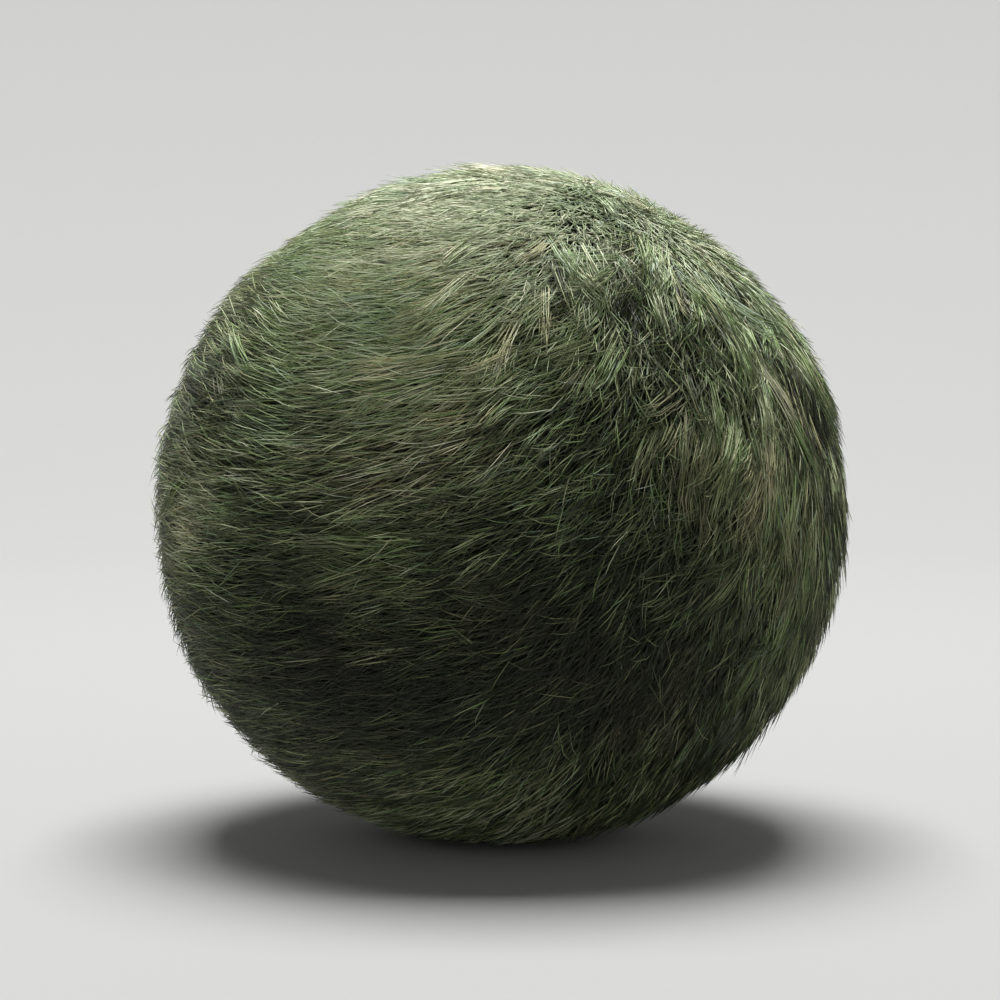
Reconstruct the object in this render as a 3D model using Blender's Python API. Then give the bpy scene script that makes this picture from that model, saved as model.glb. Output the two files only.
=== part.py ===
"""A moss ball: one round, slightly flattened clump of packed green filaments.

The filaments are combed into overlapping locks, which stand in low relief on the one
solid, and the ball rests on a small flat spot. All lengths are in metres and all angles
in degrees. Up is +Z and the front is -Y. The origin is the middle of the flat spot.
"""

import math
import random

import bmesh
import bpy
from mathutils import Vector, noise

# Driving dimensions
WIDTH = 0.0465
DEPTH = 0.0458
HEIGHT = 0.0443
SPOT_DEPTH = 0.0011
MEAN_RADIUS = (WIDTH + DEPTH + HEIGHT) / 6

# The ball is a cube with this many cells along each side, rounded and carved into locks,
# and then thinned to this many triangles, which gather along the grooves
CELLS = 64
TRIANGLES = 9200

# Locks: how many are spread evenly, and the size of a typical one
SPREAD_LOCKS = 72
LOCK_LENGTH = 0.0120
LOCK_WIDTH = 0.0070
LOCK_RELIEF = 0.00062
LOCK_SPREAD = 0.22
ROOT_SHIFT = 0.06
SEED = 7
# A lock reaches its body's height over this share of its length, and its tip then stands
# higher by this share of the relief
ROOT_SHARE = 0.22
TIP_SHARE = 0.55
# The width follows a half turn's sine from this share of it, bluntened by a power
WIDTH_START = 0.22
BLUNTNESS = 0.45
# Across its width a lock has a rounded back, from 1 (an arch) down to 0 (flat)
BACK_ARCH = 0.6

# Each lock is parted into strands by grooves this deep, as a share of its height, and
# the lower the sharpness, the narrower they are
STRANDS = 3
GROOVE_SHARE = 0.35
GROOVE_SHARPNESS = 0.5

# Slow swells under the locks
SWELL_RELIEF = 0.0003
SWELL_FREQUENCY = 1.9

# Between these elevations the locks fade into the felt that the ball lies on
FADE_START = -50
FADE_END = -68

# How the filaments lie: a place on the ball as azimuth (0 at the front, positive to the
# right) and elevation, then the heading of the tips (0 to the right, 90 up)
COMB_STROKES = (
    (-75, 35, -30),
    (-70, 8, -14),
    (-68, -20, -16),
    (-60, -48, -20),
    (-42, 28, 2),
    (-38, 2, 6),
    (-36, -26, 3),
    (-30, 56, 14),
    (-26, -55, 4),
    (-10, 40, 18),
    (-8, 16, 24),
    (-6, -8, 12),
    (-4, -34, 9),
    (8, 62, 6),
    (10, 25, 20),
    (14, 2, 24),
    (12, -22, 14),
    (10, -52, 16),
    (27, 44, -82),
    (34, 20, -106),
    (34, -4, -122),
    (30, -28, -130),
    (34, -50, -118),
    (52, 50, -76),
    (55, 26, -74),
    (52, 2, -118),
    (52, -26, -120),
    (60, -46, -122),
    (82, 40, -68),
    (82, 10, -88),
    (82, -22, -100),
    (105, 55, -30),
    (110, 20, -62),
    (112, -14, -70),
    (108, -48, -60),
    (138, 32, -14),
    (142, -2, -22),
    (140, -38, -12),
    (172, 40, 12),
    (175, 8, 4),
    (178, -30, 8),
    (-150, 46, 22),
    (-148, 14, 20),
    (-146, -18, -4),
    (-140, -50, -8),
    (-112, 44, -8),
    (-108, 12, 6),
    (-105, -20, -12),
    (-100, -50, -16),
)
# How far one stroke's pull reaches: larger is tighter
STROKE_TIGHTNESS = 22

# The locks that stand out on the front: azimuth, elevation, and their length, width and
# relief as shares of the typical ones
STANDING_LOCKS = (
    (37, 53, 0.90, 0.72, 1.50),
    (56, 52, 1.00, 0.85, 1.30),
    (57, 35, 1.00, 0.80, 1.45),
    (43, 22, 1.10, 0.85, 1.75),
    (60, 20, 0.95, 0.75, 1.50),
    (57, 1, 1.00, 0.90, 1.40),
    (64, -9, 1.10, 0.75, 1.50),
    (59, -29, 1.00, 0.80, 1.35),
)

MOSS_COLOUR = (0.052, 0.066, 0.036, 1.0)
MOSS_ROUGHNESS = 0.95
SMOOTH_ANGLE = 60


def clear_scene():
    """Removes whatever the file holds, so that the ball stands alone."""
    for thing in list(bpy.data.objects):
        bpy.data.objects.remove(thing)


def place(azimuth, elevation):
    """Unit vector from the ball's middle to a place on it."""
    turn, rise = math.radians(azimuth), math.radians(elevation)
    level = math.cos(rise)
    return Vector((math.sin(turn) * level, -math.cos(turn) * level, math.sin(rise)))


def stroke_vector(azimuth, elevation, heading):
    """Unit tangent at a place, for a heading seen from outside."""
    turn, rise, lie = (math.radians(a) for a in (azimuth, elevation, heading))
    east = Vector((math.cos(turn), math.sin(turn), 0))
    north = Vector((-math.sin(turn) * math.sin(rise), math.cos(turn) * math.sin(rise), math.cos(rise)))
    return east * math.cos(lie) + north * math.sin(lie)


STROKES = [(place(a, e), stroke_vector(a, e, h)) for a, e, h in COMB_STROKES]


def comb_direction(where):
    """Unit tangent along which the filaments lie at a place, from the strokes around it."""
    pull = Vector((0, 0, 0))
    for centre, along in STROKES:
        pull += along * math.exp(STROKE_TIGHTNESS * (where.dot(centre) - 1))
    return (pull - where * pull.dot(where)).normalized()


def even_places(count):
    """Places spread evenly over the ball along a spiral from pole to pole."""
    golden_turn = math.pi * (3 - math.sqrt(5))
    for i in range(count):
        height = 1 - (2 * i + 1) / count
        level = math.sqrt(1 - height * height)
        yield Vector((math.cos(i * golden_turn) * level, math.sin(i * golden_turn) * level, height))


class Lock:
    """One combed lock: it starts at its root, follows the comb and ends in a raised tip."""

    def __init__(self, root, length=1.0, width=1.0, relief=1.0):
        self.root = root
        self.along = comb_direction(root)
        self.side = root.cross(self.along)
        self.reach = length * LOCK_LENGTH / MEAN_RADIUS
        self.half_width = width * LOCK_WIDTH / MEAN_RADIUS / 2
        self.nearest = math.cos(self.reach + self.half_width)
        self.relief = relief * LOCK_RELIEF
        tip = root * math.cos(self.reach) + self.along * math.sin(self.reach)
        self.bend = comb_direction(tip).dot(self.side) / (2 * self.reach)

    def height(self, where):
        """How far the lock stands over the felt at a place."""
        if where.dot(self.root) < self.nearest:
            return 0.0
        forward = math.atan2(where.dot(self.along), where.dot(self.root))
        share = forward / self.reach
        if not 0 < share < 1:
            return 0.0
        sideways = math.asin(where.dot(self.side)) - self.bend * forward * forward
        half_turn = math.pi * (WIDTH_START + (1 - WIDTH_START) * share)
        half = self.half_width * math.sin(half_turn) ** BLUNTNESS
        across = sideways / half
        if abs(across) >= 1:
            return 0.0
        rise = (1 - TIP_SHARE) * min(1, share / ROOT_SHARE) + TIP_SHARE * share
        back = (1 - across * across) ** BACK_ARCH
        ridge = abs(math.cos(math.pi * across * STRANDS / 2)) ** GROOVE_SHARPNESS
        return self.relief * rise * back * (1 - GROOVE_SHARE * (1 - ridge))


def make_locks():
    """The locks that stand out on the front, then the ones spread evenly over the ball."""
    locks = [Lock(place(a, e), *sizes) for a, e, *sizes in STANDING_LOCKS]
    chance = random.Random(SEED)
    for root in even_places(SPREAD_LOCKS):
        shift = Vector([chance.uniform(-ROOT_SHIFT, ROOT_SHIFT) for _ in range(3)])
        sizes = [chance.uniform(1 - LOCK_SPREAD, 1 + LOCK_SPREAD) for _ in range(3)]
        locks.append(Lock((root + shift).normalized(), *sizes))
    return locks


def fade(where):
    """1 where the locks stand in full, 0 around the flat spot."""
    elevation = math.degrees(math.asin(max(-1.0, min(1.0, where.z))))
    share = (elevation - FADE_END) / (FADE_START - FADE_END)
    share = max(0.0, min(1.0, share))
    return share * share * (3 - 2 * share)


def relief(where, locks):
    """Height of the surface over the plain ball at a place."""
    swell = SWELL_RELIEF * noise.noise(where * SWELL_FREQUENCY)
    return swell + fade(where) * max(lock.height(where) for lock in locks)


def rounded(corner):
    """Direction of a cube's point, warped so that the cells come out nearly equal."""
    return Vector([math.tan(c * math.pi / 4) for c in corner]).normalized()


def carve_ball():
    """A fine ball with the locks raised on it, as a mesh."""
    locks = make_locks()
    ball = bmesh.new()
    bmesh.ops.create_cube(ball, size=2)
    bmesh.ops.subdivide_edges(ball, edges=ball.edges, cuts=CELLS - 1, use_grid_fill=True)
    for v in ball.verts:
        where = rounded(v.co)
        v.co = where * (MEAN_RADIUS + relief(where, locks))
    mesh = bpy.data.meshes.new("fine ball")
    ball.to_mesh(mesh)
    ball.free()
    return mesh


def thin_out(mesh):
    """The same ball with few triangles, kept where the surface bends most."""
    fine = bpy.data.objects.new("fine ball", mesh)
    bpy.context.scene.collection.objects.link(fine)
    thin = fine.modifiers.new("thin", "DECIMATE")
    thin.ratio = TRIANGLES / (2 * len(mesh.polygons))
    thin.use_collapse_triangulate = True
    found = fine.evaluated_get(bpy.context.evaluated_depsgraph_get())
    result = bpy.data.meshes.new_from_object(found)
    bpy.data.objects.remove(fine)
    bpy.data.meshes.remove(mesh)
    return result


def fit_to_box(ball, low, high):
    """Stretches the ball until it fills the box exactly."""
    for axis in range(3):
        values = [v.co[axis] for v in ball.verts]
        start, end = min(values), max(values)
        for v in ball.verts:
            v.co[axis] = low[axis] + (v.co[axis] - start) / (end - start) * (high[axis] - low[axis])


def cut_flat_spot(ball):
    """Cuts the ball at the floor and closes it with one flat face."""
    geometry = ball.verts[:] + ball.edges[:] + ball.faces[:]
    cut = bmesh.ops.bisect_plane(ball, geom=geometry, plane_co=(0, 0, 0), plane_no=(0, 0, 1), clear_inner=True)
    rim = [e for e in cut["geom_cut"] if isinstance(e, bmesh.types.BMEdge)]
    bmesh.ops.edgeloop_fill(ball, edges=rim)
    bmesh.ops.recalc_face_normals(ball, faces=ball.faces)


def moss_material():
    """Matt, very dark olive green."""
    material = bpy.data.materials.new("moss")
    material.use_nodes = True
    shader = material.node_tree.nodes["Principled BSDF"]
    shader.inputs["Base Color"].default_value = MOSS_COLOUR
    shader.inputs["Roughness"].default_value = MOSS_ROUGHNESS
    shader.inputs["Metallic"].default_value = 0.0
    return material


def build_ball(collection):
    """Carves the ball, thins it, sizes it and cuts the spot it rests on."""
    mesh = thin_out(carve_ball())
    ball = bmesh.new()
    ball.from_mesh(mesh)
    fit_to_box(ball, (-WIDTH / 2, -DEPTH / 2, -SPOT_DEPTH), (WIDTH / 2, DEPTH / 2, HEIGHT))
    cut_flat_spot(ball)
    ball.to_mesh(mesh)
    ball.free()
    mesh.name = "moss_ball"
    mesh.materials.append(moss_material())
    mesh.shade_smooth()
    mesh.set_sharp_from_angle(angle=math.radians(SMOOTH_ANGLE))
    collection.objects.link(bpy.data.objects.new("moss_ball", mesh))


def main():
    clear_scene()
    collection = bpy.data.collections.new("moss ball")
    bpy.context.scene.collection.children.link(collection)
    build_ball(collection)


main()
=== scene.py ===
"""A moss ball: a felted body under coats of combed filaments, on a pale round stage.

Every filament is a thin closed thread. Threads grow from small clumps, the clumps from
wider tufts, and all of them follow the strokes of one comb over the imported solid.
"""

import functools
import math

import bpy
import numpy as np
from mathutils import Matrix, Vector, noise
from mathutils.bvhtree import BVHTree


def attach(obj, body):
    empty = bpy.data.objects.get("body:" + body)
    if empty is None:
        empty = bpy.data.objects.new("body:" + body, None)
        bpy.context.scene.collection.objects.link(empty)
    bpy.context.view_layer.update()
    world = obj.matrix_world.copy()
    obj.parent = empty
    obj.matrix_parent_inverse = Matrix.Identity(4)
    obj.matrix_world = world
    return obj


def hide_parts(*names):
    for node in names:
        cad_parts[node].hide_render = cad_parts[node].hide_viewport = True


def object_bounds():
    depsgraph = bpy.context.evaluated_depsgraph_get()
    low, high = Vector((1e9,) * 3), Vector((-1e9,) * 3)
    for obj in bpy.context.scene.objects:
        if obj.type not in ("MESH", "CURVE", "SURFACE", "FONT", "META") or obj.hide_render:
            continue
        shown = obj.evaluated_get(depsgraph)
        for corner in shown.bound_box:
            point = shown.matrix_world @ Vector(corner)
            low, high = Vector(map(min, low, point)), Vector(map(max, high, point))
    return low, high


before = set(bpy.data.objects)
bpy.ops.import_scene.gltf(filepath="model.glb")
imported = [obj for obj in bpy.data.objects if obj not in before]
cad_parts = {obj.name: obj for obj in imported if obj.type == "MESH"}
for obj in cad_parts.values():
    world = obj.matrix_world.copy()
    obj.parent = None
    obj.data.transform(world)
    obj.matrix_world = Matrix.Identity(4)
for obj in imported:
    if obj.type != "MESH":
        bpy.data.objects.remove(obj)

bl_info = {
    "name": "Moss ball",
    "version": (1, 0, 0),
    "blender": (4, 5, 0),
    "location": "3D View > Sidebar > Moss",
    "description": "Dresses a round solid as a ball of combed moss filaments on a stage",
    "category": "Add Mesh",
}

MM = 0.001
BALL_NODE = "moss_ball"
BODY = "root"
BAKE_MAP = "OFBake"
THREAD_FINISH = "moss threads"
LOW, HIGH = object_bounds()
MIDDLE = (LOW + HIGH) / 2
RADIUS = sum(HIGH - LOW) / 6

# How the filaments lie: a place on the ball as azimuth (0 at the front, positive to the
# right) and elevation, then the heading of the tips (0 to the right, 90 up), in degrees
COMB_STROKES = (
    (-65, 24, 160),
    (-60, 34, 170),
    (-60, 13, 164),
    (-65, -6, 168),
    (-62, -26, 172),
    (-56, -46, 168),
    (-46, 52, 206),
    (-41, 37, 180),
    (-40, 10, 177),
    (-38, -14, 182),
    (-38, -38, 178),
    (-23, 50, 198),
    (-20, 30, 202),
    (-20, 12, 198),
    (-20, -50, 190),
    (-14, -8, 187),
    (-12, -28, 187),
    (-10, 58, 226),
    (-6, 22, 214),
    (-4, -50, 224),
    (8, 34, 236),
    (10, 8, 214),
    (9, -20, 202),
    (28, 48, 244),
    (33, 26, 242),
    (33, 8, 238),
    (28, -17, 228),
    (30, -43, 264),
    (50, 52, 230),
    (55, 32, 264),
    (56, 16, 246),
    (54, -14, 244),
    (57, -34, 250),
    (52, -50, 268),
    (80, 38, 256),
    (82, 10, 246),
    (84, -20, 242),
    (82, -50, 256),
    (0, 80, 216),
    (90, 76, 126),
    (180, 76, 40),
    (-90, 76, -52),
    (104, 54, 160),
    (108, 28, 190),
    (110, 0, 205),
    (108, -34, 218),
    (130, 52, 150),
    (135, 18, 211),
    (138, -18, 245),
    (152, 42, 131),
    (160, -10, 301),
    (150, -48, 262),
    (176, 54, 100),
    (-174, 22, 39),
    (-168, -16, 350),
    (-150, 46, 42),
    (-145, 12, 2),
    (-142, -30, 330),
    (-120, 50, 12),
    (-124, 20, 322),
    (-128, -12, 314),
    (-125, -46, 300),
    (-92, 44, 206),
    (-88, 14, 192),
    (-88, -20, 204),
    (-104, 32, 262),
    (-108, 0, 266),
    (-106, -36, 262),
)
# How far one stroke's pull reaches: larger is tighter
STROKE_TIGHTNESS = 22
# How many steps a filament takes along the comb from each of its rings to the next
COMB_STEPS = 6

# Patches of the coat: azimuth, elevation and radius in degrees, how much paler, how far the
# hue turns from khaki towards sea green, how far the coat stands up in mm, how tousled it is.
# The last is the whorl at the back, and the others are seen from the front. How much paler is
# partly the coat's own patchiness and partly painted light and shade: paler patches high on
# the front and at the bottom paint light, darker ones low on the front and at the sides paint
# shade.
PATCHES = (
    (-6, 54, 16, 0.34, -0.5, 0.0, 0.0),
    (-8, 24, 13, 0.25, -0.3, 0.1, 0.0),
    (2, 28, 7, -0.14, 0.1, 0.0, 0.0),
    (-33, 39, 16, 0.34, 0.2, 0.0, 0.0),
    (-48, 15, 11, -0.16, 0.6, 0.0, 0.0),
    (-72, 18, 13, -0.32, -0.3, 0.0, 0.0),
    (24, 58, 14, 0.26, 0.2, 0.0, 0.0),
    (19, 15, 12, -0.06, 0.5, 0.0, 0.7),
    (18, 1, 9, 0.10, 0.0, 0.0, 0.0),
    (33, 26, 11, -0.24, 0.6, -0.1, 0.8),
    (47, 29, 6, -0.10, 0.2, 0.0, 0.5),
    (12, 45, 12, 0.26, 0.2, 0.0, 0.3),
    (11, 37, 8, 0.22, 0.1, 0.0, 0.3),
    (23, 43, 9, 0.42, 0.3, 0.0, 0.3),
    (48, 68, 15, 0.44, 0.0, 0.0, 1.3),
    (36, 42, 7, 0.44, 0.4, 0.2, 0.0),
    (50, 20, 12, 0.18, 0.2, 0.2, 0.8),
    (33, 9, 8, 0.0, -0.2, 0.0, 1.0),
    (37, -8, 9, 0.14, 0.0, 0.0, 0.0),
    (78, 8, 12, -0.20, 0.0, 0.0, 0.0),
    (-60, 0, 10, 0.46, -0.4, 0.0, 0.0),
    (-21, -7, 11, 0.24, 0.2, 0.0, 0.0),
    (20, -22, 24, -0.32, 0.0, 0.0, 0.8),
    (-29, -26, 18, -0.36, -0.1, 0.0, 0.0),
    (53, -27, 10, 0.10, 0.3, 0.1, 0.3),
    (62, -10, 6, 0.20, 0.0, 0.2, 0.0),
    (4, -62, 20, 0.38, 0.0, 0.0, 0.0),
    (72, -7, 11, -0.24, 0.0, 0.0, 0.0),
    (-31, -15, 9, -0.13, 0.0, 0.0, 0.0),
    (158, 19, 12, 0.0, 0.3, 0.0, 2.5),
)

# Small pits where the coat has parted: azimuth and elevation, then half the width and half
# the height, in degrees
PITS = (
    (26, 36, 2.2, 3.8),
    (33, 48, 1.2, 4.6),
    (39, 35, 1.8, 1.8),
    (12, 35, 1.3, 1.3),
    (60, 18, 3.0, 2.6),
    (65, 14, 4.2, 3.0),
    (70, 12, 2.8, 2.0),
)
# How much darker (painted shade in the pit), browner and deeper the filaments in a pit lie
PIT_PAINTED_SHADE = -0.9
PIT_HUE = -0.8
PIT_DEPTH = 0.9 * MM

# Where loose strands hang over the coat: azimuth and elevation of their roots, length in mm,
# how far their heading leaves the comb in degrees, their tone, and their hue from khaki at 0
# to sea green at 3
LOOSE_STRANDS = (
    (43, 50, 7.0, 0, 0.84, 2.0),
    (34, 47, 6.0, -4, 0.84, 1.8),
    (44, 42, 6.0, 14, 0.78, 2.2),
    (52, 33, 7.0, 8, 0.72, 2.0),
    (60, 25, 6.5, 10, 0.80, 1.6),
    (61, 31, 5.0, -16, 0.66, 2.4),
    (39, 18, 6.0, 2, 0.64, 1.4),
    (45, 14, 6.5, -3, 0.70, 1.7),
    (32, 14, 5.0, 6, 0.56, 0.8),
    (50, 8, 5.5, -10, 0.66, 1.2),
    (57, -4, 5.5, 16, 0.72, 1.5),
    (56, -17, 6.0, 0, 0.66, 2.4),
    (43, -8, 5.0, -4, 0.58, 1.8),
    (50, -32, 5.5, 4, 0.60, 2.8),
    (14, 47, 5.0, 30, 0.72, 1.8),
    (19, 29, 4.5, -14, 0.55, 1.8),
    (-4, 34, 5.5, 10, 0.80, 1.2),
    (-12, 26, 5.0, 12, 0.74, 1.2),
    (2, 26, 5.0, 2, 0.70, 1.4),
    (-8, 42, 5.5, 8, 0.78, 1.1),
    (-48, 20, 5.0, -6, 0.52, 2.0),
    (-57, 13, 5.0, 8, 0.48, 1.8),
    (92, 75, 6.5, 0, 0.80, 1.6),
    (66, 79, 6.0, -6, 0.80, 1.2),
    (60, 70, 6.0, 10, 0.82, 1.9),
    (-22, -6, 5.0, 0, 0.55, 2.0),
    (76, 30, 6.0, 12, 0.62, 2.0),
    (88, 6, 6.5, -8, 0.66, 1.2),
    (104, -20, 6.0, 14, 0.58, 1.6),
    (128, 28, 6.0, -10, 0.66, 1.9),
    (150, -6, 5.5, 16, 0.60, 0.9),
    (172, 36, 6.5, 6, 0.70, 2.1),
    (-166, 4, 6.0, -14, 0.62, 1.5),
    (-140, 30, 6.0, 10, 0.66, 1.1),
    (-128, -24, 5.5, -6, 0.56, 2.3),
    (-100, 18, 6.0, 12, 0.66, 1.8),
    (-96, -12, 5.5, -12, 0.58, 1.3),
    (-20, 74, 6.0, 10, 0.72, 1.0),
    (70, 66, 6.0, -12, 0.68, 1.7),
    (-120, 62, 6.5, 8, 0.70, 1.4),
)

# The surface under the filaments: how finely its sphere is divided, how far the solid's locks
# are evened out, and how often the even form is smoothed
SPHERE_FINENESS = 6
EVENNESS = 0.65
EVENING_ROUNDS = 50
# Fineness and seed of the felt's small lumps
FELT_GRAIN = (14.0, 3)
# The lowest that the felt and the threads' points come, and in mm the range of the lowest
# heights of whole filaments, which lie on each other under the ball
FELT_FLOOR = 0.03 * MM
THREAD_FLOOR = 0.02 * MM
FILAMENT_FLOOR = (0.05, 0.35)
# The most that a filament stands out of the surface
MOST_PROUD = 1.0 * MM

# A thread's sides, and the heights of its rings with their shares of its width
THREAD_SIDES = 3
BENT_THREAD = {0.28: 1.0, 0.70: 0.8}
STRAIGHT_THREAD = {0.42: 1.0}
# A thread's points are matched to its axis and its rings within this
NEAR = 0.01
# The bake map has this many rows, one tint each, and a thread fills this much of its row.
# The rows are shared out among the hues, from khaki to sea green, each from dark to pale.
TINT_ROWS = 64
HUES = 4
ROW_FILL = 0.7

# Each hue runs through these tones, dark to pale: a share of its colour, and how grey it is.
# The palest, brighter than the colour and greyed, is partly the pale tips' own colour and
# partly a painted highlight, the filaments' sheen.
TONES = ((0.08, 0.35), (0.36, 0.15), (1.0, 0.0), (1.85, 0.45))
# Where the palest tone stands in a hue's share of the map, short of the next hue's darkest
LAST_TONE = 0.97
# How much the tone changes for each radius of height: painted shade below one height, down
# over a reach, and painted light on the crown above another. Heights are counted from the
# middle, as shares of the radius.
PAINTED_LOWER_SHADE = -0.34
PAINTED_SHADE_FROM = 0.35
PAINTED_SHADE_REACH = 0.8
PAINTED_CROWN_LIGHT = 1.15
PAINTED_LIGHT_FROM = 0.64
# Slow changes of tone and hue over the ball: amount, fineness and seed
TONE_DRIFT = (0.06, 3.0, 5)
HUE_DRIFT = (0.9, 3.4, 9)
# The mean hue, from khaki at 0 to sea green at 3, and how far clumps and filaments leave it
MEAN_HUE = 1.7
CLUMP_HUE_SPREAD = 0.55
FILAMENT_HUE_SPREAD = 0.45
STRAND_HUE_SPREAD = 0.5
# A tuft's and a filament's own change of tone and lift, as shares of a clump's
TUFT_TONE = 0.5
FILAMENT_TONE = 0.6
FILAMENT_LIFT = 1 / 3
# The range of the filaments' widths, as shares of the typical one
WIDTHS = (0.7, 1.3)

# How far tufts, clumps and filaments are shifted from even places, as shares of a step
TUFT_SHIFT = 0.3
CLUMP_SHIFT = 0.35
FILAMENT_SHIFT = 0.4
# How much the lengths of clumps and filaments vary, how far tufts draw their clumps in, and
# how far a clump still goes its own way
CLUMP_VARIETY = 0.3
FILAMENT_VARIETY = 0.35
TUFT_GATHER = 0.4
CLUMP_STRAY = 0.5
# The range of a parent's pull, as shares of the full one
PULLS = (0.6, 1.15)
# Powers of the share of a filament's length, lower for a change nearer the root: how it closes
# in on its parent, rises to the tips' depth, and takes on its clump's own lift
CLOSING_POWER = 0.8
RISING_POWER = 0.6
LIFT_POWER = 2

# Within a loose strand: the lengths of its bundles and of their filaments, as shares, how far
# filaments start along the bundle, and the range of the bundle's pull
BUNDLE_LENGTHS = (0.65, 1.15)
BUNDLE_FILAMENT_LENGTHS = (0.5, 1.1)
BUNDLE_STARTS = (-0.8, 0.8)
BUNDLE_PULLS = (0.6, 1.1)
# A filament's own scatter and variety, as shares of its bundle's
BUNDLE_SCATTER = 1 / 4
BUNDLE_VARIETY = 1 / 2

# Each coat's own values, over the defaults. The loose strands grow first, then these in order.
COATS = {
    "undercoat": dict(
        filaments=20000, bent=False, clumps=6000, length=3.2 * MM, width=0.14 * MM,
        root_depth=1.5 * MM, tip_depth=0.55 * MM, swing=math.radians(36), gather=0.5,
        tone=0.22, tone_spread=0.08, seed=11,
    ),
    "combed_coat_inner": dict(
        filaments=30000, bent=False, clumps=9000, tip_depth=0.40 * MM, tone=0.38, seed=21,
    ),
    "combed_coat_middle": dict(
        filaments=30000, bent=False, clumps=9000, tip_depth=0.28 * MM, tone=0.46, seed=31,
    ),
    "combed_coat_outer": dict(
        length=4.2 * MM, width=0.08 * MM, tip_depth=0.18 * MM, tone=0.52, seed=41,
    ),
    "combed_coat_top": dict(
        length=4.4 * MM, width=0.075 * MM, tip_depth=0.10 * MM, tone=0.55, seed=51,
    ),
    "stray_filaments": dict(
        filaments=6000, clumps=3000, length=3.2 * MM, width=0.06 * MM, root_depth=0.6 * MM,
        tip_depth=-0.12 * MM, swing=math.radians(26), gather=0.2, tone=0.62, seed=61,
    ),
}

# The felt's flecks and its wider mats: their fineness, detail and share in the pattern
FLECKS = (2600.0, 3.0, 0.7)
MATS = (260.0, 2.0, 0.3)

# The stage: the height of its wall and the radius of the bend, as shares of the floor's radius
WALL_SHARE = 0.7
BEND_SHARE = 0.5
SKY_COLOUR = (0.95, 0.98, 1.0)
KEY_LIGHT_PLACE = (0.0, 0.10, 0.60)
KEY_LIGHT_SIZE = 0.34
FRONT_LIGHT_PLACE = (-0.25, -0.35, 0.22)
FRONT_LIGHT_SIZE = 0.30


def unit(vectors):
    """The same directions, one long."""
    return vectors / np.linalg.norm(vectors, axis=-1, keepdims=True)


def placed(azimuth, elevation):
    """Places on the unit ball from angles in degrees."""
    turn, rise = np.radians(azimuth), np.radians(elevation)
    level = np.cos(rise)
    return np.stack([np.sin(turn) * level, -np.cos(turn) * level, np.sin(rise)], -1)


def east_and_north(azimuth, elevation):
    """The unit directions to the right and up along the ball, at angles in degrees."""
    return placed(azimuth + 90, 0 * elevation), placed(azimuth, elevation + 90)


class Comb:
    """The way the filaments lie over the ball, from drawn strokes."""

    def __init__(self, strokes, tightness):
        azimuth, elevation, heading = np.array(strokes, float).T
        lie = np.radians(heading)[:, None]
        east, north = east_and_north(azimuth, elevation)
        self.places = placed(azimuth, elevation)
        self.along = east * np.cos(lie) + north * np.sin(lie)
        self.tightness = tightness

    def direction(self, where):
        """Unit tangents along the comb at places on the unit ball."""
        pull = np.exp(self.tightness * (where @ self.places.T - 1)) @ self.along
        return unit(pull - where * (pull * where).sum(1, keepdims=True))


COMB = Comb(COMB_STROKES, STROKE_TIGHTNESS)


class Form:
    """How far a closed mesh reaches from the ball's middle."""

    def __init__(self, mesh):
        corners = [v.co for v in mesh.vertices]
        faces = [tuple(p.vertices) for p in mesh.polygons]
        self.tree = BVHTree.FromPolygons(corners, faces)

    def reach(self, where):
        """Distance from the middle to the surface along unit directions."""
        found = np.empty(len(where))
        for i, direction in enumerate(where.tolist()):
            hit = self.tree.ray_cast(MIDDLE, direction)[0]
            if hit is None:
                hit = self.tree.find_nearest(MIDDLE + Vector(direction) * RADIUS)[0]
            found[i] = (hit - MIDDLE).length
        return found


def sphere_on(form, lift):
    """An object: a fine sphere laid on a form, each point lifted as the function says."""
    bpy.ops.object.select_all(action="DESELECT")
    bpy.ops.mesh.primitive_ico_sphere_add(subdivisions=SPHERE_FINENESS, radius=1)
    sphere = bpy.context.active_object
    where = unit(np.array([v.co for v in sphere.data.vertices]))
    at = where * (form.reach(where) + lift(where))[:, None] + np.array(MIDDLE)
    at[:, 2] = np.maximum(at[:, 2], FELT_FLOOR)
    sphere.data.vertices.foreach_set("co", at.astype(np.float32).ravel())
    return sphere


class Surface:
    """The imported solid's surface with its locks partly evened out, as the filaments fill them."""

    def __init__(self):
        self.locks = Form(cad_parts[BALL_NODE].data)
        sphere = sphere_on(self.locks, lambda where: 0)
        bpy.ops.object.mode_set(mode="EDIT")
        bpy.ops.mesh.select_all(action="SELECT")
        bpy.ops.mesh.vertices_smooth(factor=0.5, repeat=EVENING_ROUNDS)
        bpy.ops.object.mode_set(mode="OBJECT")
        self.even = Form(sphere.data)
        bpy.data.objects.remove(sphere)

    def reach(self, where):
        """Distance from the middle to the surface along unit directions."""
        return self.locks.reach(where) * (1 - EVENNESS) + self.even.reach(where) * EVENNESS


@functools.cache
def packed_surface():
    """The one surface that every piece grows on."""
    return Surface()


def spread_places(count, chance, shift):
    """Places spread evenly over the unit ball, each shifted at random by part of a step."""
    golden_turn = math.pi * (3 - math.sqrt(5))
    i = np.arange(count)
    height = 1 - (2 * i + 1) / count
    level = np.sqrt(1 - height * height)
    where = np.stack([np.cos(i * golden_turn) * level, np.sin(i * golden_turn) * level, height], 1)
    step = math.sqrt(4 * math.pi / count)
    return unit(where + chance.normal(0, shift * step, where.shape))


def turned(vectors, about, angles):
    """Vectors turned about unit axes that are square to them."""
    return vectors * np.cos(angles)[:, None] + np.cross(about, vectors) * np.sin(angles)[:, None]


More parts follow.
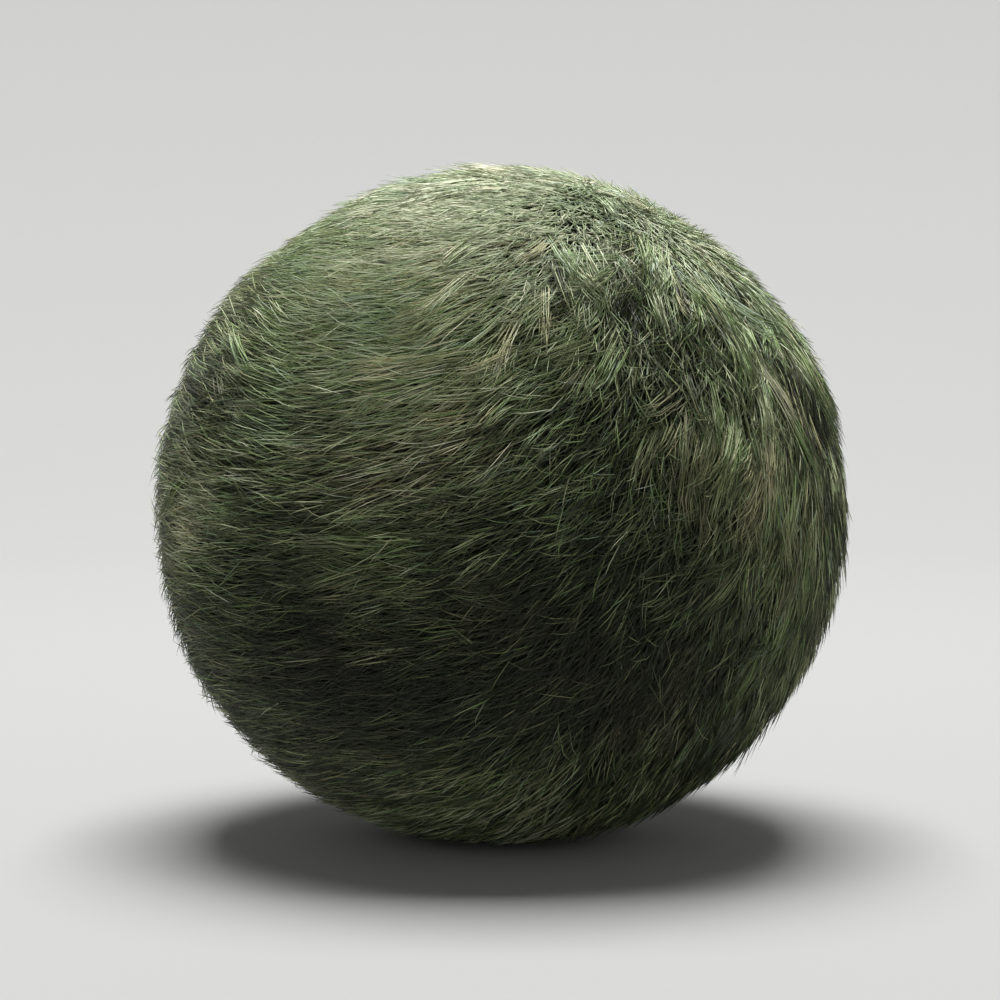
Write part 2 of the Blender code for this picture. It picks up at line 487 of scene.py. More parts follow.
def combed_paths(roots, lengths, levels, swing, curl):
    """Paths on the unit ball from roots along the comb, swung aside at first and curled on."""
    here, marks = roots, [roots]
    done = 0.0
    for level in levels[1:]:
        share = (level - done) / COMB_STEPS
        for i in range(COMB_STEPS):
            angles = swing + curl * (done + share * (i + 0.5))
            along = turned(COMB.direction(here), here, angles)
            here = unit(here + along * (lengths * share)[:, None])
        marks.append(here)
        done = level
    return np.stack(marks, 1)


def nearest(places, others, batch=2000):
    """For each place, the index of the nearest of the others, a batch at a time."""
    found = np.empty(len(places), int)
    for start in range(0, len(places), batch):
        part = slice(start, start + batch)
        found[part] = (places[part] @ others.T).argmax(1)
    return found


def gathered(paths, roots, guides, parents, levels, pull, own_share):
    """Paths that leave their roots, then close in on their guides, less their own share."""
    offset = roots - guides[parents, 0]
    closing = 1 - pull[:, None, None] * np.array(levels)[None, :, None] ** CLOSING_POWER
    drawn_in = guides[parents] + offset[:, None] * closing
    return unit(drawn_in * (1 - own_share) + paths * own_share)


def wander(where, amount, fineness, seed):
    """A slow random change over the ball, about from minus to plus the amount."""
    shift = Vector((seed, 2 * seed, 3 * seed))
    return amount * np.array([noise.noise(Vector(w) * fineness + shift) for w in where.tolist()])


def patched(where):
    """How much paler, greener, taller and more tousled each place is, from the patches."""
    azimuth, elevation, radius, *changes = np.array(PATCHES, float).T
    apart = np.degrees(np.arccos(np.clip(where @ placed(azimuth, elevation).T, -1, 1)))
    share = np.exp(-((apart / radius) ** 2))
    return share @ np.stack(changes, 1)


def in_pit(where):
    """How far into a pit each place is, from 0 to 1."""
    depth = np.zeros(len(where))
    for azimuth, elevation, half_width, half_height in PITS:
        east, north = east_and_north(azimuth, elevation)
        across = where @ east / math.radians(half_width)
        up = where @ north / math.radians(half_height)
        on_this_side = where @ placed(azimuth, elevation) > 0
        depth = np.maximum(depth, np.exp(-(across**2 + up**2)) * on_this_side)
    return depth


def tint_rows(tone, hue):
    """The map row of each thread, from its tone in 0..1 and its hue in 0..HUES."""
    each = TINT_ROWS // HUES
    family = np.clip(hue.astype(int), 0, HUES - 1)
    return family * each + np.clip((tone * each).astype(int), 0, each - 1)


class Thread:
    """One closed thread along Z, from its root at 0 through its rings to its tip at 1."""

    def __init__(self, rings):
        first, *others = rings
        bpy.ops.object.select_all(action="DESELECT")
        bpy.ops.mesh.primitive_cone_add(
            vertices=THREAD_SIDES, depth=1 - first, end_fill_type="TRIFAN",
            location=(0, 0, (1 + first) / 2),
        )
        thread = bpy.context.active_object
        bpy.ops.object.transform_apply(location=True, rotation=True, scale=True)
        bpy.ops.object.mode_set(mode="EDIT")
        for height in others:
            bpy.ops.mesh.select_all(action="SELECT")
            bpy.ops.mesh.bisect(plane_co=(0, 0, height), plane_no=(0, 0, 1))
        bpy.ops.mesh.select_all(action="SELECT")
        bpy.ops.mesh.quads_convert_to_tris()
        bpy.ops.object.mode_set(mode="OBJECT")
        points = np.array([v.co for v in thread.data.vertices])
        self.faces = np.array([tuple(p.vertices) for p in thread.data.polygons])
        bpy.data.objects.remove(thread)

        self.levels = np.array((0.0, *rings, 1.0))
        around = np.hypot(points[:, 0], points[:, 1])
        # The middle of the cone's end is drawn out to the root
        points[(around < NEAR) & (points[:, 2] < first + NEAR), 2] = 0
        self.level = np.abs(points[:, 2][:, None] - self.levels[None]).argmin(1)
        width = np.array((0, *rings.values(), 0))[self.level]
        self.across = points[:, :2] / np.maximum(around, NEAR)[:, None] * width[:, None] / 2
        # Where each point lies across its row of the map, from -1 to 1
        self.apart = np.where(around > NEAR, np.arctan2(points[:, 1], points[:, 0]) / math.pi, 0)

    def along(self, name, paths, outward, widths, rows):
        """A mesh of copies of the thread, one along each path, with the bake map."""
        run = np.gradient(paths, axis=1)
        side = unit(np.cross(run, outward))
        over = unit(np.cross(side, run))
        at = paths[:, self.level]
        for axis, share in ((side, self.across[:, 0]), (over, self.across[:, 1])):
            at = at + axis[:, self.level] * (widths[:, None] * share[None])[..., None]
        corners = at.reshape(-1, 3)
        corners[:, 2] = np.maximum(corners[:, 2], THREAD_FLOOR)
        first = np.arange(len(paths)) * len(self.level)
        mesh = bpy.data.meshes.new(name)
        mesh.from_pydata(corners, [], (self.faces[None] + first[:, None, None]).reshape(-1, 3))

        across = (rows[:, None] + 0.5 + self.apart[None] * ROW_FILL / 2) / TINT_ROWS
        along = np.broadcast_to(self.levels[self.level][None], across.shape)
        uv = np.stack([along, across], -1).reshape(-1, 2)
        layer = mesh.uv_layers.new(name=BAKE_MAP)
        corner_points = np.empty(len(mesh.loops), np.int32)
        mesh.loops.foreach_get("vertex_index", corner_points)
        layer.data.foreach_set("uv", uv[corner_points].astype(np.float32).ravel())
        mesh.shade_smooth()
        return mesh


def combed(roots, levels, coat, chance, variety, guides=None, parents=None, pull=0, own_share=0):
    """Paths from roots along the comb, drawn towards their parents' if they have any."""
    count = len(roots)
    tousle = 1 + patched(roots)[:, 3]
    swing = chance.normal(0, coat.swing, count) * tousle
    curl = chance.normal(0, coat.curl, count) * tousle
    lengths = coat.length / RADIUS * chance.uniform(1 - variety, 1 + variety, count)
    own = combed_paths(roots, lengths, levels, swing, curl)
    if guides is None:
        return own
    pull = pull * chance.uniform(*PULLS, count)
    return gathered(own, roots, guides, parents, levels, pull, own_share)


def raised(paths, levels, coat, lift, chance):
    """The paths stood on the surface, from the roots' depth to the tips', clear of the floor."""
    rise = levels**RISING_POWER
    flat = paths.reshape(-1, 3)
    taller = patched(flat)[:, 2] * MM - in_pit(flat) * PIT_DEPTH
    taller = taller.reshape(paths.shape[:2])
    depth = coat.root_depth + (coat.tip_depth - coat.root_depth) * rise
    depth = depth - lift[:, None] * rise**LIFT_POWER - taller * rise
    distance = packed_surface().reach(flat) - np.maximum(depth, -MOST_PROUD).ravel()
    at = (flat * distance[:, None] + np.array(MIDDLE)).reshape(paths.shape)
    lowest = chance.uniform(*FILAMENT_FLOOR, len(paths)) * MM
    at[..., 2] = np.maximum(at[..., 2], lowest[:, None])
    return at


def tinted(tone, hue, paths):
    """The map rows of filaments, from their tones, hues, heights and the pits they cross, with
    painted shade low on the ball and in the pits and painted light on the crown.
    """
    height = paths[:, -2, 2]
    # Painted shade on the lower part of the ball and painted light on its crown, as a light from
    # above casts them
    tone = tone + PAINTED_LOWER_SHADE * np.clip(PAINTED_SHADE_FROM - height, 0, PAINTED_SHADE_REACH)
    tone = tone + PAINTED_CROWN_LIGHT * np.clip(height - PAINTED_LIGHT_FROM, 0, 1 - PAINTED_LIGHT_FROM)
    # Filaments that cross a pit get painted shade and a browner hue
    crossed = in_pit(paths[:, 1:].reshape(-1, 3)).reshape(len(paths), -1).max(1)
    return tint_rows(tone + PIT_PAINTED_SHADE * crossed, hue + PIT_HUE * crossed)


def lay_coat(coat, finish):
    """Grows one coat of filaments over the surface as a piece of its own."""
    chance = np.random.default_rng(coat.seed)
    thread = Thread(BENT_THREAD if coat.bent else STRAIGHT_THREAD)
    levels = thread.levels
    tuft_roots = spread_places(coat.tufts, chance, TUFT_SHIFT)
    clump_roots = spread_places(coat.clumps, chance, CLUMP_SHIFT)
    roots = spread_places(coat.filaments, chance, FILAMENT_SHIFT)
    in_tuft, in_clump = nearest(clump_roots, tuft_roots), nearest(roots, clump_roots)
    tufts = combed(tuft_roots, levels, coat, chance, 0)
    clumps = combed(
        clump_roots, levels, coat, chance, CLUMP_VARIETY, tufts, in_tuft, TUFT_GATHER, CLUMP_STRAY
    )
    paths = combed(
        roots, levels, coat, chance, FILAMENT_VARIETY, clumps, in_clump, coat.gather, coat.stray
    )

    lift = chance.normal(0, coat.tip_spread, coat.clumps)[in_clump]
    lift = lift + chance.normal(0, coat.tip_spread * FILAMENT_LIFT, coat.filaments)
    at = raised(paths, levels, coat, lift, chance)

    middles = paths[:, -2]
    paler, greener = patched(middles).T[:2]
    # paler holds the coat's own patchiness and also painted light and painted shade
    tone = coat.tone + paler + wander(middles, *TONE_DRIFT)
    tone = tone + chance.normal(0, coat.tone_spread * TUFT_TONE, coat.tufts)[in_tuft][in_clump]
    tone = tone + chance.normal(0, coat.tone_spread, coat.clumps)[in_clump]
    tone = tone + chance.normal(0, coat.tone_spread * FILAMENT_TONE, coat.filaments)
    hue = MEAN_HUE + wander(middles, *HUE_DRIFT) + greener
    hue = hue + chance.normal(0, CLUMP_HUE_SPREAD, coat.clumps)[in_clump]
    hue = hue + chance.normal(0, FILAMENT_HUE_SPREAD, coat.filaments)
    widths = coat.width * chance.uniform(*WIDTHS, coat.filaments)
    mesh = thread.along(coat.name, at, paths, widths, tinted(tone, hue, paths))
    add_piece(coat.name, mesh, finish)


def lay_loose_strands(name, strands, finish):
    """Grows the loose strands, each of thin bundles of filaments that narrow to their tips."""
    chance = np.random.default_rng(strands.seed)
    thread = Thread(BENT_THREAD)
    levels = thread.levels
    strand_of = np.repeat(np.arange(len(LOOSE_STRANDS)), strands.bundles)
    azimuth, elevation, length, aside, tone, hue = np.array(LOOSE_STRANDS, float)[strand_of].T
    count = len(strand_of)
    scatter = strands.root_spread / RADIUS
    bundle_roots = unit(placed(azimuth, elevation) + chance.normal(0, scatter, (count, 3)))
    lengths = length * MM / RADIUS * chance.uniform(*BUNDLE_LENGTHS, count)
    swing = np.radians(aside) + chance.normal(0, strands.swing, count)
    curl = chance.normal(0, strands.curl, count)
    bundles = combed_paths(bundle_roots, lengths, levels, swing, curl)

    parents = np.repeat(np.arange(count), strands.filaments)
    total = len(parents)
    starts = chance.uniform(*BUNDLE_STARTS, total)
    along = (bundles[:, 1] - bundles[:, 0])[parents] * starts[:, None]
    loose = chance.normal(0, scatter * BUNDLE_SCATTER, (total, 3))
    roots = unit(bundle_roots[parents] + along + loose)
    swing = swing[parents] + chance.normal(0, strands.swing * BUNDLE_VARIETY, total)
    curl = curl[parents] + chance.normal(0, strands.curl * BUNDLE_VARIETY, total)
    own_lengths = lengths[parents] * chance.uniform(*BUNDLE_FILAMENT_LENGTHS, total)
    own = combed_paths(roots, own_lengths, levels, swing, curl)
    pull = strands.gather * chance.uniform(*BUNDLE_PULLS, total)
    paths = gathered(own, roots, bundles, parents, levels, pull, strands.stray)

    lift = chance.normal(0, strands.tip_spread, count)[parents]
    lift = lift + chance.normal(0, strands.tip_spread * BUNDLE_VARIETY, total)
    at = raised(paths, levels, strands, lift, chance)
    tone = (tone + chance.normal(0, strands.tone_spread, count))[parents]
    tone = tone + chance.normal(0, strands.tone_spread, total)
    # Patches darken the strands that cross them, painted shade and dark patchiness alike, and
    # don't pale them
    tone = tone + np.minimum(patched(paths[:, -2])[:, 0], 0)
    hue = (hue + chance.normal(0, STRAND_HUE_SPREAD, count))[parents]
    hue = hue + chance.normal(0, STRAND_HUE_SPREAD, total)
    widths = strands.width * chance.uniform(*WIDTHS, total)
    mesh = thread.along(name, at, paths, widths, tinted(tone, hue, paths))
    add_piece(name, mesh, finish)


class Value:
    """A number that varies over a surface. Arithmetic on it adds Math nodes."""

    def __init__(self, finish, socket):
        self.finish, self.socket = finish, socket

    def _with(self, operation, first, second):
        node = self.finish.node("ShaderNodeMath", {"operation": operation}, {0: first, 1: second})
        return Value(self.finish, node.outputs[0])

    def __add__(self, other):
        return self._with("ADD", self, other)

    def __radd__(self, other):
        return self._with("ADD", other, self)

    def __mul__(self, other):
        return self._with("MULTIPLY", self, other)

    def __rmul__(self, other):
        return self._with("MULTIPLY", other, self)


class Finish:
    """A material built from nodes."""

    def __init__(self, name):
        self.material = bpy.data.materials.new(name)
        self.material.use_nodes = True
        self.nodes = self.material.node_tree.nodes
        self.links = self.material.node_tree.links
        self.shader = self.nodes["Principled BSDF"]

    def node(self, kind, settings=None, inputs=None):
        """Adds a node, makes its settings, then gives its sockets their values or links."""
        node = self.nodes.new(kind)
        for key, value in (settings or {}).items():
            if key == "stops":
                self._stops(node.color_ramp, value)
            else:
                setattr(node, key, value)
        for key, value in (inputs or {}).items():
            self.feed(node.inputs[key], value)
        return node

    def _stops(self, ramp, stops):
        while len(ramp.elements) < len(stops):
            ramp.elements.new(0.5)
        for element, (position, colour) in zip(ramp.elements, stops):
            element.position = position
            element.color = (*colour, 1)

    def feed(self, socket, value):
        """Sets a socket to a number or colour, or links it."""
        if isinstance(value, Value):
            value = value.socket
        if isinstance(value, bpy.types.NodeSocket):
            self.links.new(value, socket)
        elif isinstance(value, tuple) and len(value) == 3 and socket.type == "RGBA":
            socket.default_value = (*value, 1)
        else:
            socket.default_value = value

    def set(self, **inputs):
        """Sets or links the shader's own inputs, named with underscores for spaces."""
        for key, value in inputs.items():
            self.feed(self.shader.inputs[key.replace("_", " ")], value)
        return self.material

    def value(self, node, output):
        """One of a node's outputs as a number to reckon with."""
        return Value(self, node.outputs[output])

    def mix(self, factor, first, second):
        """A colour between two."""
        node = self.node("ShaderNodeMix", {"data_type": "RGBA"})
        sockets = {s.identifier: s for s in node.inputs}
        self.feed(sockets["Factor_Float"], factor)
        self.feed(sockets["A_Color"], first)
        self.feed(sockets["B_Color"], second)
        return next(s for s in node.outputs if s.identifier == "Result_Color")


def tint_stops(pales):
    """The stops of a ramp over the map's rows, each hue from its darkest tone to its palest."""
    stops = []
    for i, pale in enumerate(pales):
        full = np.array(pale)
        for level, (share, grey) in enumerate(TONES):
            toned = (full + grey * (full.mean() - full)) * share
            stops.append(((i + min(level / (len(TONES) - 1), LAST_TONE)) / HUES, tuple(toned)))
    return stops


def thread_finish(settings):
    """The threads' one finish: dark at the root, painted shade deep in the coat, and at the tip one
    tint of one of the hues.
    """
    if THREAD_FINISH in bpy.data.materials:
        return bpy.data.materials[THREAD_FINISH]
    finish = Finish(THREAD_FINISH)
    place = finish.node("ShaderNodeUVMap", {"uv_map": BAKE_MAP})
    parts = finish.node("ShaderNodeSeparateXYZ", inputs={"Vector": place.outputs["UV"]})
    along, tint = finish.value(parts, "X"), finish.value(parts, "Y")
    stops = tint_stops((settings.khaki, settings.olive, settings.green, settings.sea))
    ramp = finish.node("ShaderNodeValToRGB", {"stops": stops}, {"Fac": tint})
    risen = finish.node("ShaderNodeMapRange", {"interpolation_type": "SMOOTHSTEP"}, {
        "Value": along, "From Min": settings.root_end, "From Max": settings.tip_start,
    })
    colour = finish.mix(finish.value(risen, 0), tuple(settings.root), ramp.outputs[0])
    shine = settings.shine
    return finish.set(Base_Color=colour, Roughness=settings.roughness, Specular_IOR_Level=shine)


def felt_finish(settings):
    """Matted felt: nearly black green, painted shade deep under the filaments, with short
    brown-green flecks.
    """
    finish = Finish("matted felt")
    place = finish.node("ShaderNodeTexCoord").outputs["Object"]

    def pattern(fineness, detail, share):
        inputs = {"Vector": place, "Scale": fineness, "Detail": detail}
        return finish.value(finish.node("ShaderNodeTexNoise", inputs=inputs), 0) * share

    amount = pattern(*FLECKS) + pattern(*MATS)
    sharp = finish.node("ShaderNodeMapRange", {"clamp": True}, {
        "Value": amount, "From Min": settings.fleck_start, "From Max": settings.fleck_full,
    })
    colour = finish.mix(finish.value(sharp, 0), tuple(settings.dark), tuple(settings.fleck))
    bump = finish.node("ShaderNodeBump", inputs={
        "Height": amount, "Strength": 0.6, "Distance": settings.bump,
    })
    return finish.set(
        Base_Color=colour, Roughness=0.95, Normal=bump.outputs[0], Specular_IOR_Level=0.2
    )


def dress(piece, finish):
    """Gives a piece of the ball its finish and its place on the ball's body."""
    piece.data.materials.clear()
    piece.data.materials.append(finish)
    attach(piece, BODY)


def add_piece(name, mesh, finish):
    """Adds a mesh to the scene as a finished piece of the ball."""
    piece = bpy.data.objects.new(name, mesh)
    bpy.context.scene.collection.objects.link(piece)
    dress(piece, finish)


class MossFeltSettings(bpy.types.PropertyGroup):
    """The felted body under the filaments."""

    depth: bpy.props.FloatProperty(
        name="Depth", description="How far the felt lies under the surface",
        default=1.1 * MM, unit="LENGTH",
    )
    lumps: bpy.props.FloatProperty(
        name="Lumps", description="Height of the felt's small lumps",
        default=0.25 * MM, unit="LENGTH",
    )
    # The felt's near-black colour is painted shade deep under the filaments
    dark: bpy.props.FloatVectorProperty(
        name="Dark", description="Felt colour", subtype="COLOR", default=(0.008, 0.011, 0.006)
    )
    fleck: bpy.props.FloatVectorProperty(
        name="Fleck", description="Colour of the flecks",
        subtype="COLOR", default=(0.03, 0.036, 0.018),
    )
    fleck_start: bpy.props.FloatProperty(
        name="Fleck start", description="Level of the pattern where flecks begin",
        default=0.4, min=0, max=1, subtype="FACTOR",
    )
    fleck_full: bpy.props.FloatProperty(
        name="Fleck full", description="Level of the pattern where flecks are full",
        default=0.68, min=0, max=1, subtype="FACTOR",
    )
    bump: bpy.props.FloatProperty(
        name="Bump", description="Height of the finest relief", default=0.2 * MM, unit="LENGTH"
    )


class MossThreadSettings(bpy.types.PropertyGroup):
    """The colours and shine of the filaments."""

    # The near-black root colour is painted shade deep in the coat
    root: bpy.props.FloatVectorProperty(
        name="Root", description="Colour at the root",
        subtype="COLOR", default=(0.016, 0.021, 0.012),
    )
    khaki: bpy.props.FloatVectorProperty(
        name="Khaki", description="Warmest tips", subtype="COLOR", default=(0.43, 0.42, 0.225)
    )
    olive: bpy.props.FloatVectorProperty(
        name="Olive", description="Tips between khaki and green",
        subtype="COLOR", default=(0.315, 0.375, 0.18),
    )
    green: bpy.props.FloatVectorProperty(
        name="Green", description="Greenest tips", subtype="COLOR", default=(0.235, 0.335, 0.125)
    )
    sea: bpy.props.FloatVectorProperty(
        name="Sea green", description="Coolest tips", subtype="COLOR", default=(0.265, 0.35, 0.225)
    )
    root_end: bpy.props.FloatProperty(
        name="Root end", description="Share of the length that stays dark",
        default=0.0, min=0, max=1, subtype="FACTOR",
    )
    tip_start: bpy.props.FloatProperty(
        name="Tip start", description="Share of the length where the tip's colour is full",
        default=0.38, min=0, max=1, subtype="FACTOR",
    )
    roughness: bpy.props.FloatProperty(
        name="Roughness", description="Of the filaments",
        default=0.5, min=0, max=1, subtype="FACTOR",
    )
    shine: bpy.props.FloatProperty(
        name="Shine", description="Specular level of the filaments",
        default=0.35, min=0, max=1, subtype="FACTOR",
    )


class MossCoatSettings(bpy.types.PropertyGroup):
    """One coat of filaments, by the name of its piece."""

    filaments: bpy.props.IntProperty(
        name="Filaments", description="How many there are", default=15000, min=1
    )
    bent: bpy.props.BoolProperty(
        name="Bent", description="Bends each filament twice, not once, for twice the faces",
        default=True,
    )
    clumps: bpy.props.IntProperty(
        name="Clumps", description="How many clumps they grow in", default=6500, min=1
    )
    tufts: bpy.props.IntProperty(
        name="Tufts", description="How many tufts the clumps form", default=700, min=1
    )
    length: bpy.props.FloatProperty(
        name="Length", description="Of a typical filament", default=3.7 * MM, unit="LENGTH"
    )
    width: bpy.props.FloatProperty(
        name="Width", description="Of a typical filament", default=0.09 * MM, unit="LENGTH"
    )
    root_depth: bpy.props.FloatProperty(
        name="Root depth", description="Of the roots under the surface",
        default=1.2 * MM, unit="LENGTH",
    )
    tip_depth: bpy.props.FloatProperty(
        name="Tip depth", description="Of the tips under the surface",
        default=0.15 * MM, unit="LENGTH",
    )
    tip_spread: bpy.props.FloatProperty(
        name="Tip spread", description="How unevenly the clumps stand up",
        default=0.18 * MM, unit="LENGTH",
    )
    swing: bpy.props.FloatProperty(
        name="Swing", description="How far headings stray from the comb",
        default=math.radians(14), subtype="ANGLE",
    )
    curl: bpy.props.FloatProperty(
        name="Curl", description="How far a filament turns over its length",
        default=math.radians(27), subtype="ANGLE",
    )
    gather: bpy.props.FloatProperty(
        name="Gather", description="How far a clump's tips close in on each other",
        default=0.75, min=0, max=1, subtype="FACTOR",
    )
    stray: bpy.props.FloatProperty(
        name="Stray", description="How far each filament goes its own way",
        default=0.4, min=0, max=1, subtype="FACTOR",
    )
    tone: bpy.props.FloatProperty(
        name="Tone", description="Mean place in the tints, from dark to pale",
        default=0.45, min=0, max=1, subtype="FACTOR",
    )
    tone_spread: bpy.props.FloatProperty(
        name="Tone spread", description="How much the tone varies",
        default=0.19, min=0, max=1, subtype="FACTOR",
    )
    seed: bpy.props.IntProperty(name="Seed", description="Changes every random draw", default=1)


class MossStrandSettings(bpy.types.PropertyGroup):
    """The loose strands over the coats."""

    bundles: bpy.props.IntProperty(
        name="Bundles", description="How many thin bundles a strand has", default=9, min=1
    )
    filaments: bpy.props.IntProperty(
        name="Filaments", description="How many filaments a bundle has", default=13, min=1
    )
    width: bpy.props.FloatProperty(
        name="Width", description="Of a typical filament", default=0.09 * MM, unit="LENGTH"
    )
    root_depth: bpy.props.FloatProperty(
        name="Root depth", description="Of the roots under the surface",
        default=0.9 * MM, unit="LENGTH",
    )
    tip_depth: bpy.props.FloatProperty(
        name="Tip depth", description="Of the tips under the surface",
        default=-0.1 * MM, unit="LENGTH",
    )
    tip_spread: bpy.props.FloatProperty(
        name="Tip spread", description="How unevenly the bundles stand up",
        default=0.14 * MM, unit="LENGTH",
    )
    root_spread: bpy.props.FloatProperty(
        name="Root spread", description="How widely a strand's bundles are scattered",
        default=1.5 * MM, unit="LENGTH",
    )
    swing: bpy.props.FloatProperty(
        name="Swing", description="How far headings stray from the strand's",
        default=math.radians(12), subtype="ANGLE",
    )
    curl: bpy.props.FloatProperty(
        name="Curl", description="How far a bundle turns over its length",
        default=math.radians(28), subtype="ANGLE",
    )
    gather: bpy.props.FloatProperty(
        name="Gather", description="How far a bundle's tips close in on each other",
        default=0.7, min=0, max=1, subtype="FACTOR",
    )
    stray: bpy.props.FloatProperty(
        name="Stray", description="How far each filament goes its own way",
        default=0.3, min=0, max=1, subtype="FACTOR",
    )
    tone_spread: bpy.props.FloatProperty(
        name="Tone spread", description="How much the tone varies",
        default=0.09, min=0, max=1, subtype="FACTOR",
    )
    seed: bpy.props.IntProperty(name="Seed", description="Changes every random draw", default=71)


class MossStageSettings(bpy.types.PropertyGroup):
    """Floor, light and camera."""

    floor: bpy.props.FloatVectorProperty(
        name="Floor", description="Floor colour", subtype="COLOR", default=(0.30, 0.30, 0.295)
    )
    floor_radius: bpy.props.FloatProperty(
        name="Floor radius", description="Of the round stage", default=0.42, unit="LENGTH"
    )
    key_power: bpy.props.FloatProperty(
        name="Key", description="Power of the light above", default=8.5, unit="POWER"
    )
    fill_power: bpy.props.FloatProperty(
        name="Fill", description="Power of the front light", default=0.04, unit="POWER"
    )
    sky: bpy.props.FloatProperty(
        name="Sky", description="Strength of the light all round", default=0.12
    )
    lens: bpy.props.FloatProperty(
        name="Lens", description="Focal length", default=100.0, unit="CAMERA"
    )
    elevation: bpy.props.FloatProperty(
        name="Elevation", description="Of the camera over the floor",
        default=math.radians(4), subtype="ANGLE",
    )
    share: bpy.props.FloatProperty(
        name="Share", description="Part of the picture's width that the ball fills",
        default=0.70, min=0, max=1, subtype="FACTOR",
    )


def list_coats(scene):
    """Lists the coats in the scene, each with its own values over the defaults."""
    for name, own in COATS.items():
        coat = scene.moss_coats.add()
        coat.name = name
        for key, value in own.items():
            setattr(coat, key, value)


class MOSS_OT_felt_body(bpy.types.Operator):
    """Make the felted body that the filaments grow from"""

    bl_idname = "moss.felt_body"
    bl_label = "Felt body"

    def execute(self, context):
        settings = context.scene.moss_felt
        body = sphere_on(
            packed_surface(),
            lambda where: wander(where, settings.lumps, *FELT_GRAIN) - settings.depth,
        )
        body.name = "felt_body"
        while body.data.uv_layers:
            body.data.uv_layers.remove(body.data.uv_layers[0])
        body.data.shade_smooth()
        dress(body, felt_finish(settings))
        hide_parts(BALL_NODE)
        return {"FINISHED"}


class MOSS_OT_loose_strands(bpy.types.Operator):
    """Hang the loose strands over the ball"""

    bl_idname = "moss.loose_strands"
    bl_label = "Loose strands"

    def execute(self, context):
        scene = context.scene
        lay_loose_strands("loose_strands", scene.moss_strands, thread_finish(scene.moss_threads))
        return {"FINISHED"}


class MOSS_OT_coats(bpy.types.Operator):
    """Comb every coat of filaments over the felt"""

    bl_idname = "moss.coats"
    bl_label = "Filament coats"

    def execute(self, context):
        scene = context.scene
        if not scene.moss_coats:
            list_coats(scene)
        for coat in scene.moss_coats:
            lay_coat(coat, thread_finish(scene.moss_threads))
        return {"FINISHED"}


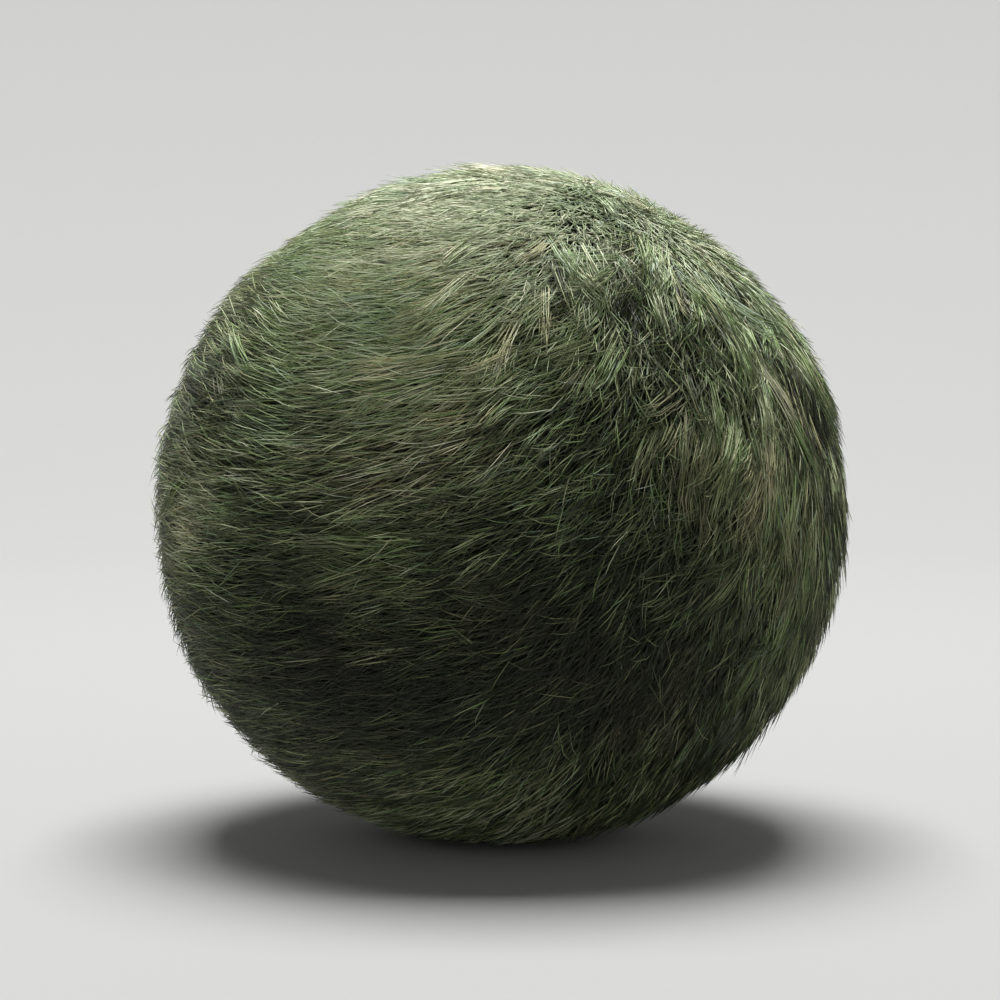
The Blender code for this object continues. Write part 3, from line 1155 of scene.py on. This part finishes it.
class MOSS_OT_stage(bpy.types.Operator):
    """Set the floor, the lights and the camera"""

    bl_idname = "moss.stage"
    bl_label = "Stage"

    def execute(self, context):
        settings = context.scene.moss_stage
        self.floor(settings)
        self.lights(context, settings)
        self.camera(context, settings)
        context.scene.view_settings.view_transform = "Standard"
        context.scene.view_settings.look = "None"
        return {"FINISHED"}

    def floor(self, settings):
        """A round floor whose wall rises behind a wide bend."""
        bpy.ops.object.select_all(action="DESELECT")
        bpy.ops.mesh.primitive_circle_add(
            vertices=96, radius=settings.floor_radius, fill_type="NGON", location=(0, 0, 0)
        )
        floor = bpy.context.active_object
        floor.name = "floor"
        wall = (0, 0, settings.floor_radius * WALL_SHARE)
        bpy.ops.object.mode_set(mode="EDIT")
        bpy.ops.mesh.select_mode(type="FACE")
        bpy.ops.mesh.select_all(action="SELECT")
        bpy.ops.mesh.extrude_region_move(TRANSFORM_OT_translate={"value": wall})
        bpy.ops.mesh.delete(type="ONLY_FACE")
        bpy.ops.object.mode_set(mode="OBJECT")
        bend = floor.modifiers.new("bend", "BEVEL")
        bend.width = settings.floor_radius * BEND_SHARE
        bend.segments = 16
        bend.limit_method = "ANGLE"
        floor.data.shade_smooth()
        finish = Finish("pale floor")
        floor.data.materials.append(finish.set(Base_Color=tuple(settings.floor), Roughness=0.9))

    def lights(self, context, settings):
        """A dim sky, a wide light above and a faint one in front."""
        world = bpy.data.worlds.new("soft sky")
        context.scene.world = world
        world.use_nodes = True
        sky = world.node_tree.nodes["Background"]
        sky.inputs["Color"].default_value = (*SKY_COLOUR, 1)
        sky.inputs["Strength"].default_value = settings.sky
        self.lamp("key light", settings.key_power, KEY_LIGHT_SIZE, KEY_LIGHT_PLACE)
        self.lamp("front light", settings.fill_power, FRONT_LIGHT_SIZE, FRONT_LIGHT_PLACE)

    def lamp(self, name, power, size, place):
        """A square soft light that faces the ball."""
        bpy.ops.object.light_add(type="AREA", location=place)
        lamp = bpy.context.active_object
        lamp.name = name
        lamp.data.energy = power
        lamp.data.size = size
        lamp.rotation_mode = "QUATERNION"
        lamp.rotation_quaternion = (Vector(place) - MIDDLE).to_track_quat("Z", "Y")

    def camera(self, context, settings):
        """A camera in front that looks at the ball's middle from a little above."""
        bpy.ops.object.camera_add()
        camera = context.active_object
        camera.name = "camera"
        context.scene.camera = camera
        camera.data.lens = settings.lens
        half_view = math.atan(camera.data.sensor_width / 2 / settings.lens)
        half_width = (HIGH.x - LOW.x) / 2 / settings.share
        away = half_width / math.tan(half_view)
        back = Vector((0, -math.cos(settings.elevation), math.sin(settings.elevation)))
        camera.location = MIDDLE + back * away
        camera.rotation_mode = "QUATERNION"
        camera.rotation_quaternion = back.to_track_quat("Z", "Y")
        camera.data.clip_start = 0.01
        camera.data.clip_end = 10


class MOSS_PT_panel(bpy.types.Panel):
    """Lists the steps that dress the ball"""

    bl_idname = "MOSS_PT_panel"
    bl_label = "Moss ball"
    bl_space_type = "VIEW_3D"
    bl_region_type = "UI"
    bl_category = "Moss"

    def draw(self, context):
        for step in STEPS:
            self.layout.operator(step.bl_idname)


STEPS = (MOSS_OT_felt_body, MOSS_OT_loose_strands, MOSS_OT_coats, MOSS_OT_stage)
SETTINGS = {
    "moss_felt": MossFeltSettings,
    "moss_threads": MossThreadSettings,
    "moss_strands": MossStrandSettings,
    "moss_stage": MossStageSettings,
}


def register():
    """Makes the settings, the steps and their panel known to Blender."""
    for group in (*SETTINGS.values(), MossCoatSettings):
        bpy.utils.register_class(group)
    for name, group in SETTINGS.items():
        setattr(bpy.types.Scene, name, bpy.props.PointerProperty(type=group))
    bpy.types.Scene.moss_coats = bpy.props.CollectionProperty(type=MossCoatSettings)
    for step in (*STEPS, MOSS_PT_panel):
        bpy.utils.register_class(step)


def unregister():
    """Takes back what register did."""
    for step in reversed((*STEPS, MOSS_PT_panel)):
        bpy.utils.unregister_class(step)
    for name in (*SETTINGS, "moss_coats"):
        delattr(bpy.types.Scene, name)
    for group in (*SETTINGS.values(), MossCoatSettings):
        bpy.utils.unregister_class(group)


def main():
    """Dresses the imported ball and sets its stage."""
    register()
    bpy.ops.moss.felt_body()
    bpy.ops.moss.loose_strands()
    bpy.ops.moss.coats()
    bpy.ops.moss.stage()


if __name__ == "__main__":
    main()
